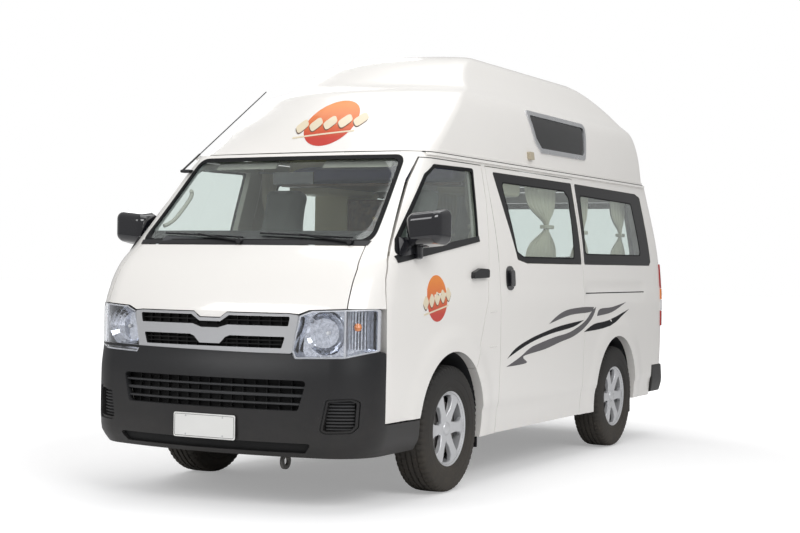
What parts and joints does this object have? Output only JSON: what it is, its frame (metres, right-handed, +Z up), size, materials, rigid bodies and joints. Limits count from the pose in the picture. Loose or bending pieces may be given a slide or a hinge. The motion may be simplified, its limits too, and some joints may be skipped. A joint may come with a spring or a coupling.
{
  "type": "camper van",
  "caption": "Cab-over camper van with a long wheelbase, fibreglass high top with pop-out windows, and steering, spinning wheels, doors, tailgate and front lid that move.",
  "frame": {"origin": "middle of the bounding box, on the ground under the wheels", "axes": "-Y forward, +X to the van's left (kerb side), +Z up"},
  "size_m": [2.07, 4.695, 2.4949],
  "materials": {
    "paint": "gloss white paint",
    "gelcoat": "white fibreglass",
    "dark_trim": "dark grained plastic",
    "gloss_black": "gloss black",
    "silver_trim": "silver-grey plastic",
    "lamp_clear": "clear lens",
    "lamp_red": "red lens",
    "glass": "tinted glass",
    "plate_white": "blank plate",
    "cab_plastic": "grey moulded plastic",
    "floor_metal": "primed steel",
    "seat_cloth": "grey woven cloth",
    "curtain_cloth": "cream cloth",
    "cabinet_wood": "brown board",
    "rail_metal": "satin",
    "cast": "cast metal",
    "chassis_black": "black chassis paint",
    "exhaust_steel": "steel",
    "tank": "black",
    "tyre": "black rubber",
    "alloy": "silver paint on alloy"
  },
  "bodies": {
    "van_body": {"front_panel": "paint", "left_side": "paint", "right_side": "paint", "sliding_door": "paint", "rear_frame": "paint", "drip_rails": "paint", "high_top": "gelcoat", "front_bumper": "dark_trim", "rear_bumper": "dark_trim", "wipers": "dark_trim", "antenna": "dark_trim", "mud_flaps": "dark_trim", "radiator": "dark_trim", "cabin_mirror": "dark_trim", "grille": "silver_trim", "headlamps": "lamp_clear", "tail_lamps": "lamp_red", "windscreen": "glass", "side_glass": "glass", "high_top_windows": "glass", "front_plate": "plate_white", "dashboard": "cab_plastic", "steering_wheel": "cab_plastic", "cab_floor": "cab_plastic", "floor_pan": "floor_metal", "frame_rails": "floor_metal", "front_seats": "seat_cloth", "bed_cushions": "seat_cloth", "curtains": "curtain_cloth", "cabinets": "cabinet_wood", "bed_platform": "cabinet_wood", "curtain_rails": "rail_metal", "engine": "cast", "driveline": "cast", "front_suspension": "chassis_black", "rear_axle": "chassis_black", "exhaust": "exhaust_steel", "fuel_tank": "tank", "spare_wheel": "tyre"},
    "front_lid": {"front_lid": "paint"},
    "left_door": {"left_door": "paint", "left_door_glass": "glass", "left_mirror": "gloss_black"},
    "right_door": {"right_door": "paint", "right_door_glass": "glass", "right_mirror": "gloss_black"},
    "tailgate": {"tailgate": "paint", "tailgate_glass": "glass"},
    "left_knuckle": {"left_knuckle": "chassis_black"},
    "right_knuckle": {"right_knuckle": "chassis_black"},
    "front_left_wheel": {"front_left_tyre": "tyre", "front_left_rim": "alloy"},
    "front_right_wheel": {"front_right_tyre": "tyre", "front_right_rim": "alloy"},
    "rear_left_wheel": {"rear_left_tyre": "tyre", "rear_left_rim": "alloy"},
    "rear_right_wheel": {"rear_right_tyre": "tyre", "rear_right_rim": "alloy"}
  },
  "joints": [
    {"name": "left_door_hinge", "type": "hinge", "parent": "van_body", "child": "left_door", "pos_m": [0.852, -2.0195, 0.76], "axis": [-0.0523, 0, 0.9986], "range_deg": [-65, 0]},
    {"name": "right_door_hinge", "type": "hinge", "parent": "van_body", "child": "right_door", "pos_m": [-0.852, -2.0195, 0.76], "axis": [0.0523, 0, 0.9986], "range_deg": [0, 65]},
    {"name": "tailgate_hinge", "type": "hinge", "parent": "van_body", "child": "tailgate", "pos_m": [0, 2.1965, 1.768], "axis": [1, 0, 0], "range_deg": [0, 85]},
    {"name": "front_lid_hinge", "type": "hinge", "parent": "van_body", "child": "front_lid", "pos_m": [0, -2.0195, 1.299], "axis": [1, 0, 0], "range_deg": [-45, 0]},
    {"name": "left_steering", "type": "hinge", "parent": "van_body", "child": "left_knuckle", "pos_m": [0.69, -1.2475, 0.338], "axis": [0, 0, 1], "range_deg": [-32, 32]},
    {"name": "right_steering", "type": "hinge", "parent": "van_body", "child": "right_knuckle", "pos_m": [-0.69, -1.2475, 0.338], "axis": [0, 0, 1], "range_deg": [-32, 32]},
    {"name": "front_left_spin", "type": "hinge", "parent": "left_knuckle", "child": "front_left_wheel", "pos_m": [0.735, -1.2475, 0.338], "axis": [1, 0, 0], "continuous": true},
    {"name": "front_right_spin", "type": "hinge", "parent": "right_knuckle", "child": "front_right_wheel", "pos_m": [-0.735, -1.2475, 0.338], "axis": [1, 0, 0], "continuous": true},
    {"name": "rear_left_spin", "type": "hinge", "parent": "van_body", "child": "rear_left_wheel", "pos_m": [0.735, 1.3225, 0.338], "axis": [1, 0, 0], "continuous": true},
    {"name": "rear_right_spin", "type": "hinge", "parent": "van_body", "child": "rear_right_wheel", "pos_m": [-0.735, 1.3225, 0.338], "axis": [1, 0, 0], "continuous": true}
  ],
  "couplings": [
    {"joint": "right_steering", "follows": "left_steering", "ratio": 1}
  ]
}
